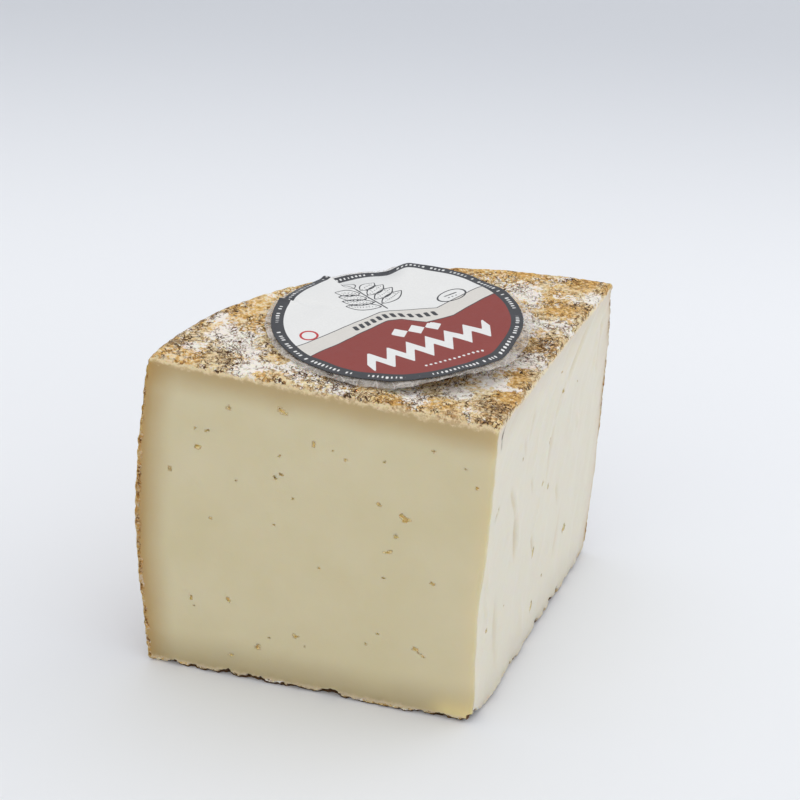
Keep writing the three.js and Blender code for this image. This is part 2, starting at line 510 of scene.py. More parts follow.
def shapeCheese(p):
    # relief = sum over faces of (strength falling off behind the face) x (that face's own noise)
    d = cheeseDistances(p)
    outward = gridNormals(p)
    z = p[..., 2]
    skinDepth = np.minimum(np.minimum(d["top"], d["base"]), d["rim"])
    onSkin = 1 - step(0.3, 1.6, skinDepth)
    near, second = cellNoise(p, 2.3, 5)
    creases = step(0.0, 0.35, second - near)
    bumps = layeredNoise(p, 3.0, 3, 11) * 0.8 + creases * 0.7 - 0.5
    waves = layeredNoise(p, 26.0, 2, 23)
    relief = onSkin * (cheese["rindRelief"] * bumps + cheese["rindSwell"] * waves)
    moved = p + outward * relief[..., None]
    along = alongCuts(p)
    nearTop = bell(d["left"], 0, 8.0) * (1 - step(15, 80, along["left"])) * (1 - step(0.0, 4.0, d["top"]))
    moved[..., 2] += cheese["lift"] * nearTop

    # the left cut is one clean stroke, the right cut was dragged and torn: its marks run down and
    # bend towards the top of the rim, along w = along - 0.21 up - 0.045 (up over 60) squared
    w = along["right"] - 0.21 * z - 0.045 * np.maximum(z - 60, 0) ** 2
    combed = layeredNoise(asPoints(w, z * 0.08), 3.2, 4, 57)
    lumps = layeredNoise(asPoints(w, z * 0.45), 8.0, 2, 59)
    relief = {
        "left": 0.16 * layeredNoise(p, 20.0, 2, 41) + 0.035 * layeredNoise(p, 3.0, 2, 43),
        "right": cheese["combing"] * combed + 0.35 * lumps + 0.5 * layeredNoise(p, 24.0, 2, 61)
                 + 0.16 * layeredNoise(asPoints(w, z * 0.6), 2.6, 3, 67),
    }
    for cut, out in (("left", leftOut), ("right", rightOut)):
        onCut = (1 - onSkin) * (d[cut] < 0.01)
        marks = cheese["marks"] * strokeRelief(along[cut], z, knifeMarks[cut], markEnds)
        moved += out * (onCut * (relief[cut] + marks))[..., None]

        # the cut rind swells out under the top, with a hollow below it, and is lumpy
        crust = layeredNoise(p, 2.4, 3, 83)
        lip = cheese["lip"] * bell(d["top"], 1.3, 1.0) * (1 + 1.6 * crust)
        lip = lip - cheese["hollow"] * bell(d["top"], 5.0, 2.4)
        lip = lip + cheese["baseLip"] * bell(z, 1.6, 1.3) * (0.6 + 2.0 * crust)
        moved += out * ((d[cut] < 0.01) * lip)[..., None]

        # the knife rounds and crumbles the edges, pulled in along both faces that meet there
        crumble = 0.35 + 1.6 * np.clip(layeredNoise(p, 2.6, 2, 71) - 0.1, 0, 1)
        for skinOut, depth in ((np.array([-wheel["slopeX"], -wheel["slopeY"], 1.0]), d["top"]),
                               (np.array([0.0, 0.0, -1.0]), d["base"])):
            nearEdge = np.exp(-(d[cut] ** 2 + depth ** 2) / cheese["crumble"] ** 2)
            moved -= (out + 0.7 * skinOut) * (nearEdge * crumble)[..., None] * 0.5

        # the base edge is broken away in notches and eaten in below them: pushed in where
        # up < edge height, fading with the distance behind the cut
        share, eaten = baseUndercut(along[cut], z, cut)
        inward = share * eaten * np.exp(-np.maximum(d[cut], 0) / cheese["undercutFade"])
        moved -= out * inward[..., None]

    # the edge between the cuts leans: its top stands to the right, its middle a little to the left
    nearEdge = np.exp(-(d["left"] ** 2 + d["right"] ** 2) / 7.0 ** 2)
    lean = cheese["leanTop"] * step(50, 86, z) - cheese["leanMiddle"] * bell(z, 32, 16)
    moved += np.array([0.87, -0.5, 0.0]) * (nearEdge * lean)[..., None]
    nearPoint = np.exp(-(d["left"] ** 2 + d["right"] ** 2) / 0.8 ** 2)
    crumble = nearPoint * (0.35 + 0.7 * layeredNoise(p, 6.0, 2, 73))
    moved -= (leftOut + rightOut) * crumble[..., None] * 0.5
    moved[..., 2] = np.maximum(moved[..., 2], 0.0)
    return moved


def makeCheese():
    plain = wedgeSurface()
    d = cheeseDistances(plain)
    along = alongCuts(plain)
    z = plain[..., 2]
    torn = (d["right"] < 0.01) * step(0.2, 1.0, d["left"])
    smear = strokeRelief(along["right"], z, [((7.2, 85.0), (4.4, 77.0), 0.6, 0.5),
                                             ((4.7, 80.6), (4.5, 79.8), 0.7, 1.0)])
    # painted shade in the knife grooves: a darker tan tint that follows how deep the marks sink in
    scoredShade = -0.85 * strokeRelief(along["right"], z, knifeMarks["right"], markEnds)
    # painted glow: lighter yellow on the left cut along its edge with the right cut and at its lower
    # corner, standing in for light that passes through the paste and comes out there
    paintedGlow = strokeRelief(along["left"], z, [((0.0, 1.0), (6.0, 2.0), 4.5, 0.8),
                                            ((0.0, 84.0), (0.5, 2.0), 4.0, 0.12)])
    # under: the strip below the broken base edge, painted dark: partly the dark rind there, partly painted
    # shade in the undercut
    under = np.maximum((d["left"] < 0.8) * baseUndercut(along["left"], z, "left")[0],
                       (d["right"] < 0.8) * baseUndercut(along["right"], z, "right")[0])
    fields = {
        "topDepth": d["top"],
        "rimDepth": d["rim"],
        "baseDepth": d["base"],
        "under": under,
        "tornCut": torn,
        "smear": torn * np.clip(smear, 0, 1),
        "scoredShade": torn * np.clip(scoredShade, 0, 1),
        "paintedGlow": (d["left"] < 0.01) * np.clip(paintedGlow, 0, 1),
        "pit": np.zeros(plain.shape[:2]),
    }
    for name, patches in rindPatches.items():
        fields[name] = sum(bell(np.hypot(plain[..., 0] - x, plain[..., 1] - y), 0, r)
                           for x, y, r in patches)
    # more mould along the left of the top's rim and all over the side
    leftRim = (1 - step(2, 7, d["rim"])) * (1 - step(-50, -30, plain[..., 0]))
    leftRim = leftRim * (1 - step(0, 2, d["top"]))
    side = step(2, 8, d["top"]) * (1 - step(0.5, 2.0, d["rim"]))
    fields["mouldHere"] = fields["mouldHere"] + 0.8 * leftRim + 0.6 * side
    return closedMesh("cheese_wedge", shapeCheese(plain), fields)


# Openings in the paste, listed one by one where they are large: place along the cut from the wedge's
# point and up from the base, width, height and turn in degrees, all in mm
openings = {
    "left": [(20.5, 56, 2.7, 2.5, 15), (22.5, 50.5, 1.6, 1.0, 60), (24.5, 45.5, 2.8, 1.0, -25),
             (52, 79, 3.0, 1.1, 25), (73.5, 65.5, 2.0, 1.5, 5), (65.5, 77.5, 1.2, 1.3, 30),
             (71, 70.5, 1.5, 0.7, -12), (44, 72, 0.7, 1.7, 0), (27, 58.5, 1.4, 1.0, 20),
             (53.5, 61, 0.7, 0.8, 0), (52, 62, 1.0, 0.6, 30), (25, 38, 1.0, 0.6, 10),
             (12.5, 39, 1.6, 0.8, 15), (75, 21.5, 1.0, 1.3, 20), (65, 23, 1.4, 1.0, 30),
             (47, 16, 1.9, 1.1, 10), (57, 10.5, 1.4, 1.6, -20), (64, 6.5, 1.6, 0.9, -8),
             (16, 19, 1.8, 1.1, 20), (14, 17.5, 2.2, 0.4, 35), (36, 69, 0.9, 0.7, 10),
             (14.5, 75.5, 0.7, 0.7, 0), (3.5, 67.5, 0.9, 0.8, 0), (80.5, 58, 1.2, 0.5, 20),
             (70, 46, 1.0, 0.5, 15), (53.5, 47.5, 0.7, 0.5, 0)],
    "right": [(43.5, 10, 2.6, 1.9, 50), (69.5, 20, 2.6, 2.4, 60), (47.5, 58, 2.4, 1.6, 55),
              (6.5, 24, 1.3, 1.0, 40), (5.5, 58, 4.6, 0.7, 28), (50, 43.5, 1.8, 1.0, 60),
              (44, 47.5, 1.4, 0.9, 40), (41, 28, 3.2, 0.9, 70)],
    "smallOnes": (14, 6),  # how many more on each cut
    "smallest": 0.3,       # mm, their width
    "widest": 0.8,
    "share": 0.85,         # of all widths and heights
    "depth": 0.3,          # of the smaller of width and height
    "lumps": 0.8,          # how uneven their outline is
}


def openingShapes():
    # each one is a lumpy ball: centre + (w/2 a, h/2 b, depth c) x (1 + lumps noise), where
    # (a, b, c) runs over a sphere, turned in the plane of the cut; roofShade is 1 on its floor and
    # 2 under its roof, where its upper wall is painted in shade
    random = np.random.default_rng(12)
    rows, columns = 9, 14
    tilt = np.linspace(-np.pi / 2, np.pi / 2, rows)[:, None]
    turn = np.arange(columns)[None] / columns * 2 * np.pi
    ball = asPoints(np.cos(tilt) * np.cos(turn), np.cos(tilt) * np.sin(turn), np.sin(tilt))
    shapes = []
    for cut, direction, out, few in zip(("left", "right"), (leftCut, rightCut), (leftOut, rightOut),
                                        openings["smallOnes"]):
        spots = list(openings[cut])
        for _ in range(few):
            size = random.uniform(openings["smallest"], openings["widest"])
            spots.append((random.uniform(5, 78), random.uniform(6, 76), size,
                          size * random.uniform(0.4, 1.0), random.uniform(-60, 60)))
        for along, up, width, height, angle in spots:
            c, s = math.cos(math.radians(angle)), math.sin(math.radians(angle))
            lumps = valueNoise(ball + random.uniform(0, 99, 3), 0.6, 3)[..., None]
            lumps = 1 + openings["lumps"] * lumps
            q = ball * lumps * np.array([width, height, 0]) / 2 * openings["share"]
            a, b = q[..., 0] * c - q[..., 1] * s, q[..., 0] * s + q[..., 1] * c
            depth = ball[..., 2] * lumps[..., 0] * (0.25 + openings["depth"] * min(width, height))
            ahead, upright = np.append(direction, 0), np.array([0, 0, 1.0])
            centre = np.array([*wheel["point"], up]) + along * ahead
            place = centre + a[..., None] * ahead + b[..., None] * upright
            roofShade = step(0.1, 0.8, b / np.abs(b).max())
            shapes.append((place + (depth - 0.15)[..., None] * out, 1.0 + roofShade))
    return shapes


def cleanMesh(mesh):
    # merges what lies closer than 2 micrometres, cuts every face into triangles, parts what only
    # hangs on by an edge, and keeps the largest connected part
    work = bmesh.new()
    work.from_mesh(mesh)
    bmesh.ops.remove_doubles(work, verts=work.verts, dist=0.002 * mm)
    bmesh.ops.dissolve_degenerate(work, edges=work.edges, dist=0.001 * mm)
    bmesh.ops.dissolve_verts(work, verts=[v for v in work.verts if len(v.link_edges) == 2])
    bmesh.ops.triangulate(work, faces=work.faces)
    bmesh.ops.split_edges(work, edges=[e for e in work.edges if len(e.link_faces) > 2])
    work.to_mesh(mesh)
    edges = np.empty(2 * len(mesh.edges), np.int32)
    mesh.edges.foreach_get("vertices", edges)
    edges = edges.reshape(-1, 2)
    # the lowest vertex number is handed along the edges until nothing changes
    part = np.arange(len(mesh.vertices))
    changed = True
    while changed:
        lower = part.copy()
        np.minimum.at(lower, edges[:, 0], part[edges[:, 1]])
        np.minimum.at(lower, edges[:, 1], part[edges[:, 0]])
        lower = lower[lower]
        changed = (lower != part).any()
        part = lower
    kept = part == np.bincount(part).argmax()
    work.verts.ensure_lookup_table()
    bmesh.ops.delete(work, geom=[work.verts[i] for i in np.flatnonzero(~kept)], context="VERTS")
    bmesh.ops.remove_doubles(work, verts=work.verts, dist=0.0001 * mm)
    bmesh.ops.collapse(work, edges=[e for e in work.edges if len(e.link_faces) > 2])
    work.to_mesh(mesh)
    work.free()


farInside = 30.0                # mm, a depth that no rind colour reaches


def cutOpenings(piece):
    # all the balls in one mesh, taken away from the cheese; "pit" marks what they leave, 2 under their
    # roofs where painted shade goes
    cutters = []
    for n, (shape, roofShade) in enumerate(openingShapes()):
        # a ball whose faces point inwards is turned round: its middle corner, the next across
        # and the next up
        middle = len(shape) // 2
        corner = shape[middle, 0]
        flip = np.linalg.det(np.stack([shape[middle, 1] - corner, shape[middle + 1, 0] - corner,
                                       corner - shape.mean((0, 1))])) < 0
        if flip:
            shape, roofShade = shape[:, ::-1], roofShade[:, ::-1]
        fields = {k: np.full(roofShade.shape, farInside) for k in ("topDepth", "rimDepth", "baseDepth")}
        fields["pit"] = roofShade
        cutters.append(closedMesh(f"opening{n}", shape, fields))
    with bpy.context.temp_override(active_object=cutters[0], selected_editable_objects=cutters):
        bpy.ops.object.join()
    cutter = cutters[0]
    cut = piece.modifiers.new("openings", "BOOLEAN")
    cut.operation = "DIFFERENCE"
    cut.object = cutter
    cut.solver = "MANIFOLD"
    evaluated = piece.evaluated_get(bpy.context.evaluated_depsgraph_get())
    mesh = bpy.data.meshes.new_from_object(evaluated)
    piece.modifiers.clear()
    piece.data = mesh
    mesh.materials.clear()
    mesh.polygons.foreach_set("material_index", np.zeros(len(mesh.polygons), np.int32))
    bpy.data.objects.remove(cutter)
    cleanMesh(mesh)


cheesePiece = makeCheese()
before = len(cheesePiece.data.polygons)
cutOpenings(cheesePiece)
print("cheese surface made:", before, "faces,", len(cheesePiece.data.polygons), "with its openings")
cheesePiece.data.shade_smooth()
cheesePiece.data.set_sharp_from_angle(angle=math.radians(55))


rindColours = {
    "cream": "#e4cda2",
    "gold": "#dcb069",
    "grainLight": "#f1e2c2",
    "grainDark": "#976a34",
    "brown": "#7c5628",
    # dark mould, and also painted shade under the broken base edge
    "barkAndShade": "#4b3018",
    "stain": "#5a4429",
    "bloom": "#f6f0e8",
    # crust: pale cut rind under the top, partly its own colour, partly a painted highlight where the lip
    # catches the light
    "crust": "#f0deb8",
    "baseCrust": "#dcc6a8",
}
pasteColours = {
    "ivory": "#d8ceaf",
    "shade": "#cec29b",
    # torn: paler colour of the right cut, partly its smeared paste, partly painted sheen of the lit face
    "torn": "#ebe8df",
    "tanned": "#ab8a4e",
    "shadow": "#98845a",
    # painted glow: the lit yellow of light coming through the paste near the edge between the cuts
    "paintedGlow": "#e3d097",
    # painted shade in the knife grooves
    "scoredShade": "#c8b27e",
    "pit": "#ead9a4",
    # painted shade on the upper walls of the openings; pit is the eye wall's own golden colour
    "roofShade": "#9c7c3a",
}
# name: size in mm, detail, roughness, shift of the pattern in mm
cheeseNoises = {
    "patches": (8.0, 5.0, 0.65, (0, 0, 0)),
    "stains": (1.0, 3.0, 0.6, (21, 3, 9)),
    "curls": (2.0, 2.0, 0.5, (37, 5, 11)),
    "moreCurls": (1.5, 2.0, 0.5, (5, 15, 2)),
    "clusters": (2.6, 2.0, 0.5, (7, 50, 1)),
    "gloom": (12.0, 3.0, 0.55, (70, 5, 31)),
    "bloomPatch": (8.0, 3.0, 0.5, (0, 91, 23)),
    "bloomGrain": (1.5, 4.0, 0.75, (13, 1, 77)),
    "cloud": (16.0, 4.0, 0.5, (0, 0, 5)),
    "edge": (2.4, 5.0, 0.7, (3, 8, 0)),
    "grain": (0.8, 3.0, 0.5, (1, 2, 3)),
}
# what is worked out from the depths, the patches and the noises, in turn: operation, its terms
cheeseSums = [
    ("sideDepth", "MINIMUM", "topDepth", "rimDepth"),
    ("skinDepth", "MINIMUM", "sideDepth", "baseDepth"),
    ("raggedDepth", "MULTIPLY_ADD", "edge", 4.4, "skinDepth"),
    ("raggedTop", "MULTIPLY_ADD", "edge", 4.4, "topDepth"),
    ("raggedBase", "MULTIPLY_ADD", "edge", 2.6, "baseDepth"),
    ("cloudyTop", "MULTIPLY_ADD", "cloud", 5.0, "topDepth"),
    ("cloudyRim", "MULTIPLY_ADD", "cloud", 5.0, "rimDepth"),
    ("cloudyBase", "MULTIPLY_ADD", "cloud", 6.0, "baseDepth"),
    ("goldSum", "MULTIPLY_ADD", "goldHere", 0.22, "patches"),
    ("curlMiddle", "SUBTRACT", "curls", 0.5),
    ("curlGap", "ABSOLUTE", "curlMiddle"),
    ("moreMiddle", "SUBTRACT", "moreCurls", 0.52),
    ("moreGap", "ABSOLUTE", "moreMiddle"),
    ("gloomPale", "MULTIPLY_ADD", "bloomHere", -0.06, "gloom"),
    ("gloomLess", "MULTIPLY_ADD", "goldHere", -0.16, "gloomPale"),
    ("gloomy", "MULTIPLY_ADD", "gloomLess", 0.9, "clusters"),
    ("mould", "MULTIPLY_ADD", "mouldHere", 0.22, "gloomy"),
    ("bloomBase", "ADD", "bloomPatch", "bloomGrain"),
    ("bloomLess", "MULTIPLY_ADD", "goldHere", -0.12, "bloomBase"),
    ("bloomSum", "MULTIPLY_ADD", "bloomHere", 0.22, "bloomLess"),
    ("stainLess", "MULTIPLY_ADD", "rustHere", -0.1, "stains"),
    ("stainMore", "MULTIPLY_ADD", "goldHere", 0.05, "stainLess"),
    ("stainSum", "MULTIPLY_ADD", "bloomHere", 0.03, "stainMore"),
]
# shares from 0 to 1: what they follow, where they are 0, where they are full, and how full
cheeseShares = [
    ("goldShare", "goldSum", 0.42, 0.64, 1.0),
    ("lightShare", "stainSum", 0.50, 0.62, 0.8),
    ("duskShare", "stainSum", 0.47, 0.35, 0.7),
    ("netLine", "moreGap", 0.05, 0.015, 0.75),
    ("netHere", "gloomy", 0.70, 0.90, 1.0),
    ("curlLine", "curlGap", 0.042, 0.012, 1.0),
    ("mouldHereShare", "mould", 0.90, 1.02, 1.0),
    ("mouldClot", "mould", 1.14, 1.3, 0.55),
    ("bloomShare", "bloomSum", 1.03, 1.12, 0.92),
    ("rimDark", "rimDepth", 2.5, 0.2, 0.6),
    ("topBand", "cloudyTop", 12.5, 4.5, 0.62),
    ("rimBand", "cloudyRim", 12.0, 3.0, 0.72),
    ("baseBand", "cloudyBase", 16.0, 5.0, 0.5),
    ("rimEdge", "rimDepth", 3.5, 0.3, 0.5),
    ("baseEdge", "baseDepth", 4.5, 0.8, 0.3),
    # the pale band under the top: partly crust, partly painted highlight
    ("crustAndHighlightShare", "raggedTop", 4.8, 3.2, 0.85),
    ("baseShare", "raggedBase", 3.7, 2.4, 0.65),
    ("roofShadeShare", "pit", 1.2, 1.9, 0.9),
    # the right cut painted paler: partly its smeared paste, partly painted sheen
    ("tornAndSheenShare", "tornCut", 0.0, 1.0, 0.64),
    ("onRind", "raggedDepth", 3.4, 3.0, 1.0),
]
cheeseProducts = [
    ("net", "MULTIPLY", "netLine", "netHere"),
    ("dashes", "MULTIPLY", "curlLine", "mouldHereShare"),
    ("crustSpecks", "MULTIPLY", "duskShare", "crustAndHighlightShare"),
    ("darkShare", "MAXIMUM", "dashes", "mouldClot"),
    ("lines", "MAXIMUM", "darkShare", "net"),
]
# colours laid over one another, lowest first: the share of each and its name
cheeseLayers = {
    "rind": ["cream", ("goldShare", "gold"), ("lightShare", "grainLight"), ("duskShare", "grainDark"),
             ("bloomShare", "bloom"), ("net", "brown"), ("darkShare", "barkAndShade"), ("rimDark", "brown"),
             ("under", "barkAndShade")],
    "paste": ["ivory", ("cloud", "shade"), ("topBand", "tanned"), ("rimBand", "tanned"),
              ("baseBand", "shadow"), ("tornAndSheenShare", "torn"), ("rimEdge", "tanned"),
              ("baseEdge", "shadow"), ("paintedGlow", "paintedGlow"), ("scoredShade", "scoredShade"), ("pit", "pit"),
              ("roofShadeShare", "roofShade"), ("crustAndHighlightShare", "crust"), ("crustSpecks", "grainDark"),
              ("baseShare", "baseCrust"), ("smear", "stain"), ("under", "barkAndShade")],
}


def makeCheeseMaterial():
    # Semi-hard goat's cheese, pressed and ripened: satin ivory paste that lets light in a few
    # millimetres, tanned under a dry, wrinkled rind with golden yeasts, brown moulds and white bloom
    material, tree = newMaterial("pressed goat's cheese with its natural rind")
    place = addNode(tree, "TexCoord").outputs["Object"]
    millimetres = addNode(tree, "VectorMath", {"operation": "SCALE", "Scale": 1 / mm}, {0: place})
    value = {}
    for name in ("topDepth", "rimDepth", "baseDepth", "tornCut", "smear", "paintedGlow", "scoredShade",
                 "under", "pit", *rindPatches):
        value[name] = addNode(tree, "Attribute", {"attribute_name": name}).outputs["Fac"]
    for name, (size, detail, roughness, shift) in cheeseNoises.items():
        shifted = addNode(tree, "VectorMath", {"operation": "ADD", 1: shift}, {0: millimetres})
        settings = {"Scale": 1 / size, "Detail": detail, "Roughness": roughness}
        value[name] = addNode(tree, "TexNoise", settings, {"Vector": shifted})

    for name, operation, *terms in cheeseSums:
        links = {n: value[t] if isinstance(t, str) else t for n, t in enumerate(terms)}
        value[name] = addNode(tree, "Math", {"operation": operation}, links)

    for name, source, none, full, most in cheeseShares:
        settings = {"interpolation_type": "SMOOTHSTEP", "From Min": none, "From Max": full, "To Max": most}
        value[name] = addNode(tree, "MapRange", settings, {"Value": value[source]})
    for name, operation, one, other in cheeseProducts:
        links = {0: value[one], 1: value[other]}
        value[name] = addNode(tree, "Math", {"operation": operation}, links)

    colours = {name: linear(text) for name, text in {**rindColours, **pasteColours}.items()}
    surface = {}
    for part, (lowest, *others) in cheeseLayers.items():
        colour = addNode(tree, "RGB")
        colour.outputs[0].default_value = colours[lowest]
        for share, over in others:
            colour = addNode(tree, "MixRGB", {"Color2": colours[over]},
                             {"Fac": value[share], "Color1": colour})
        surface[part] = colour
    colour = addNode(tree, "MixRGB", None,
                     {"Fac": value["onRind"], "Color1": surface["paste"], "Color2": surface["rind"]})

    # wrinkles and grain for the light to catch
    height = addNode(tree, "Math", {"operation": "MULTIPLY_ADD", 1: -0.8},
                     {0: value["lines"], 2: value["bloomGrain"]})
    height = addNode(tree, "Math", {"operation": "MULTIPLY"}, {0: height, 1: value["onRind"]})
    height = addNode(tree, "Math", {"operation": "MULTIPLY_ADD", 1: 0.08},
                     {0: value["grain"], 2: height})
    bump = addNode(tree, "Bump", {"Strength": 0.7, "Distance": 0.7 * mm}, {"Height": height})
    roughness = addNode(tree, "MapRange", {"To Min": 0.45, "To Max": 0.85},
                        {"Value": value["onRind"]})
    shader = addNode(tree, "BsdfPrincipled",
                     {"Subsurface Weight": 0.45, "Subsurface Scale": 6 * mm,
                      "Subsurface Radius": (1.0, 0.7, 0.35), "IOR": 1.45, "Specular IOR Level": 0.35},
                     {"Base Color": colour, "Roughness": roughness, "Normal": bump})
    addNode(tree, "OutputMaterial", None, {"Surface": shader})
    return material


cheesePiece.data.materials.append(makeCheeseMaterial())
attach(cheesePiece, "root")
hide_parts("cheese")


label = {
    "centre": (-3.8, 64.6),  # mm, from the wheel's axis
    "radius": 31.5,
    "thickness": 0.12,
    "lift": 3.8,             # above the top at its centre
    "slopeX": 0.07,          # its right side stands clear of the rind
    "slopeY": 0.02,
    "foldRing": 28.3,        # beyond this radius its ring is folded down at the back left
    "foldSlope": 0.26,       # mm down per mm out
    "sag": 2.3,              # mm, how far its back hangs
    "ring": 28.4,            # inner radius of the printed black ring
    # the two borders of the grey band, mm to the right of and behind the centre
    "bandTop": ((-28, -1.0), (-2.1, 5.3), (0.5, 4.8), (11.5, 0.3), (28, 5.8)),
    "bandBottom": ((-28, -7.3), (-2.5, 0.4), (1.0, -0.6), (5.7, -5.0), (13.4, -5.0), (28, 0.5)),
    "zigzagHeight": 2.6,     # half of it
    "zigzagPitch": 5.5,
    "leaves": 9,
    "columns": 640,
}
film = {
    "margin": 1.5,   # mm beyond the label, on average
    "ragged": 0.55,  # mm, how much its edge wanders
    "thickness": 0.06,
    "droop": 1.6,    # mm that its margin hangs below the label
    "crinkle": 0.4,  # mm, height of its creases
    "below": 0.3,    # mm under the label
    "colour": "#ddd6cf",
    "over": 0.45,    # mm that it keeps above the rind
    "columns": 420,
}


def paperPlane(a, b):
    # height of the sheet's plane, a and b mm to the right of and behind its centre
    x, y = label["centre"]
    return topHeight(x, y) + label["lift"] + label["slopeX"] * a + label["slopeY"] * b


def paperRelief(a, b):
    # creases: the ring is folded down behind a chord at the back left, sags between that and the
    # back right, and the whole sheet waves faintly
    reach, turn = np.hypot(a, b), np.degrees(np.arctan2(b, a))
    behindFold = np.maximum(reach - label["foldRing"], 0)
    folded = behindFold * step(97.0, 98.5, turn) * (1 - step(130.5, 132, turn))
    sag = step(17, 30, reach) ** 1.5 * step(55, 68, turn) * (1 - step(96.5, 99, turn))
    dents = bell(turn, -63, 7) * step(24, 31, reach) * 0.7
    dents = dents + bell(turn, 14, 6) * step(26, 31, reach) * 0.4
    flat = asPoints(a, b)
    waves = 0.35 * layeredNoise(flat, 17.0, 2, 91)
    waves = waves + 0.5 * (reach / 31) ** 2 * layeredNoise(flat, 11.0, 2, 95)
    puckers = 0.10 * layeredNoise(flat * np.array([1.0, 0.45, 1.0]), 4.0, 2, 97)
    pleat = bell(a * 0.78 + b * 0.62 + 1.2, 0, 1.2) * step(14, 30, reach) * (a < 0)
    tips = (0.7 * bell(turn, 133.5, 1.6) + 0.5 * bell(turn, 99.0, 1.4)) * step(24, 30, reach)
    return (waves + puckers + tips - label["foldSlope"] * folded - label["sag"] * sag
            - dents - 0.5 * pleat)


def sheetSurface(radius, columns, rings, thickness, height):
    # closed sheet: rings out along the underside, then in along the top;
    # P = centre + (a, b), z = height(a, b), with a = r cos t and b = r sin t
    t = np.arange(columns) / columns * 2 * np.pi
    r = np.concatenate([rings[::4], [1.0], [1.0], rings[::-1]])[:, None] * (radius(t) + 0 * t)[None]
    a, b = r * np.cos(t), r * np.sin(t)
    under = len(rings[::4]) + 1
    z = height(a, b)
    z[under:] += thickness
    x, y = label["centre"]
    return asPoints(x + a, y + b, z), a, b


def zigzag(x):
    # from -1 to 1 and back over each whole number
    return 4 * np.abs(x - np.floor(x + 0.5)) - 1


def fromNearest(x, pitch):
    # how far x is from the nearest multiple of pitch
    return np.abs(x / pitch - np.round(x / pitch)) * pitch


def labelPrint(a, b):
    # signed distances in mm to the borders of the printed fields, below 0 inside a mark
    reach, turn = np.hypot(a, b), np.arctan2(b, a)
    upper = b - np.interp(a, *zip(*label["bandTop"]))
    lower = b - np.interp(a, *zip(*label["bandBottom"]))

    # ring: white ticks of uneven width and height, 1.1 mm apart, some left out
    pitch = 2 * np.pi / 170
    tick = np.round(turn / pitch)
    across = fromNearest(turn, pitch) * reach
    uneven = np.abs(np.sin(tick * 12.9) * 43.7) % 1
    ticks = np.maximum(across - 0.14 - 0.2 * uneven, np.abs(reach - 29.9 - 0.2 * uneven) - 0.5)
    ticks = np.where(uneven < 0.14, 1.0, np.maximum(ticks, 0.14 - np.abs(np.sin(turn * 2 + 0.75))))

    # red field: a broad zigzag, lozenges over it and a row of dots under it, all white
    high, pitch = label["zigzagHeight"], label["zigzagPitch"]
    slope = 4 * high / pitch
    ribbon = np.abs(b + 16.0 - 0.06 * a - high * zigzag(a / pitch + 0.18)) / math.hypot(1, slope) - 1.05
    ribbon = np.maximum(ribbon, np.abs(a - 0.385) - 17.87)
    lozenges = fromNearest(a + 3.0, 4.6) * 1.1 + np.abs(b + 6.9 + 0.06 * a)
    lozenges = np.maximum(lozenges * 0.707 - 1.75, np.abs(a - 1.6) - 6.9)
    dots = np.hypot(fromNearest(a, 1.3), b + 24.4) - 0.42
    dots = np.maximum(dots, np.abs(a - 2.7) - 8.3)
    whites = np.minimum(np.minimum(ribbon, lozenges), dots)

    # grey band: short dark bars along its middle
    bars = np.maximum(fromNearest(a, 1.9) - 0.55, np.abs((upper + lower) / 2) - 1.15)
    bars = np.maximum(bars, np.abs(a + 1.0) - 11.8)

    # white field: a sprig of leaves in outline, and an oval with short dashes in it
    sprig = np.maximum(np.abs(a - 0.6 + 0.15 * (b - 6)) - 0.2, np.abs(b - 13) - 7.0)
    leaves = np.full_like(a, 99.0)
    for n in range(label["leaves"]):
        # leaves stand out to the left and right in turn, the last one nearly upright
        side = 1 if n % 2 else -1
        long = 4.6 - 0.22 * n
        footB = 7.5 + 1.55 * n
        lean = math.radians(90 - side * (62 if n < label["leaves"] - 1 else 6))
        footA = 0.6 - 0.15 * (footB - 6)
        c, s = math.cos(lean), math.sin(lean)
        da, db = a - footA - (long + 0.6) * c, b - footB - (long + 0.6) * s
        u, v = da * c + db * s, -da * s + db * c
        # a leaf is |v| = width (1 - (u / length) squared); its midrib is |v| = 0
        leaf = np.abs(v) - 1.75 * (1 - (u / long) ** 2)
        leaves = np.where(np.abs(leaf) < np.abs(leaves), leaf, leaves)
        sprig = np.minimum(sprig, np.maximum(np.abs(v) - 0.12, np.abs(u + 0.8) - long))
    ovalB = b - 4.4 - 0.15 * (a - 18.1)
    oval = (np.hypot((a - 18.1) / 4.2, ovalB / 2.6) - 1) * 2.8
    dashes = np.maximum(fromNearest(a, 1.2) - 0.38, np.abs(np.abs(ovalB) - 0.6) - 0.22)
    dashes = np.maximum(dashes, np.abs(a - 18.1) - 2.2)
    return {
        "ringEdge": label["ring"] - reach,
        "bandUpper": upper,
        "bandLower": lower,
        "whiteMarks": np.where(reach > label["ring"], ticks, np.where(lower < -0.6, whites, 1.0)),
        "darkMarks": np.minimum(np.minimum(bars, sprig), dashes),
        "outlines": np.where(np.abs(leaves) < np.abs(oval), leaves, oval),
        "redRing": np.hypot(a + 23.2, b - 2.7) - 2.1,
    }


def makeLabel():
    rings = np.concatenate([np.linspace(0, 0.895, 50), np.linspace(0.895, 1, 12)[1:-1]])
    p, a, b = sheetSurface(lambda t: np.full_like(t, label["radius"]), label["columns"], rings,
                           label["thickness"], lambda a, b: paperPlane(a, b) + paperRelief(a, b))
    return closedMesh("paper_label", p, labelPrint(a, b))


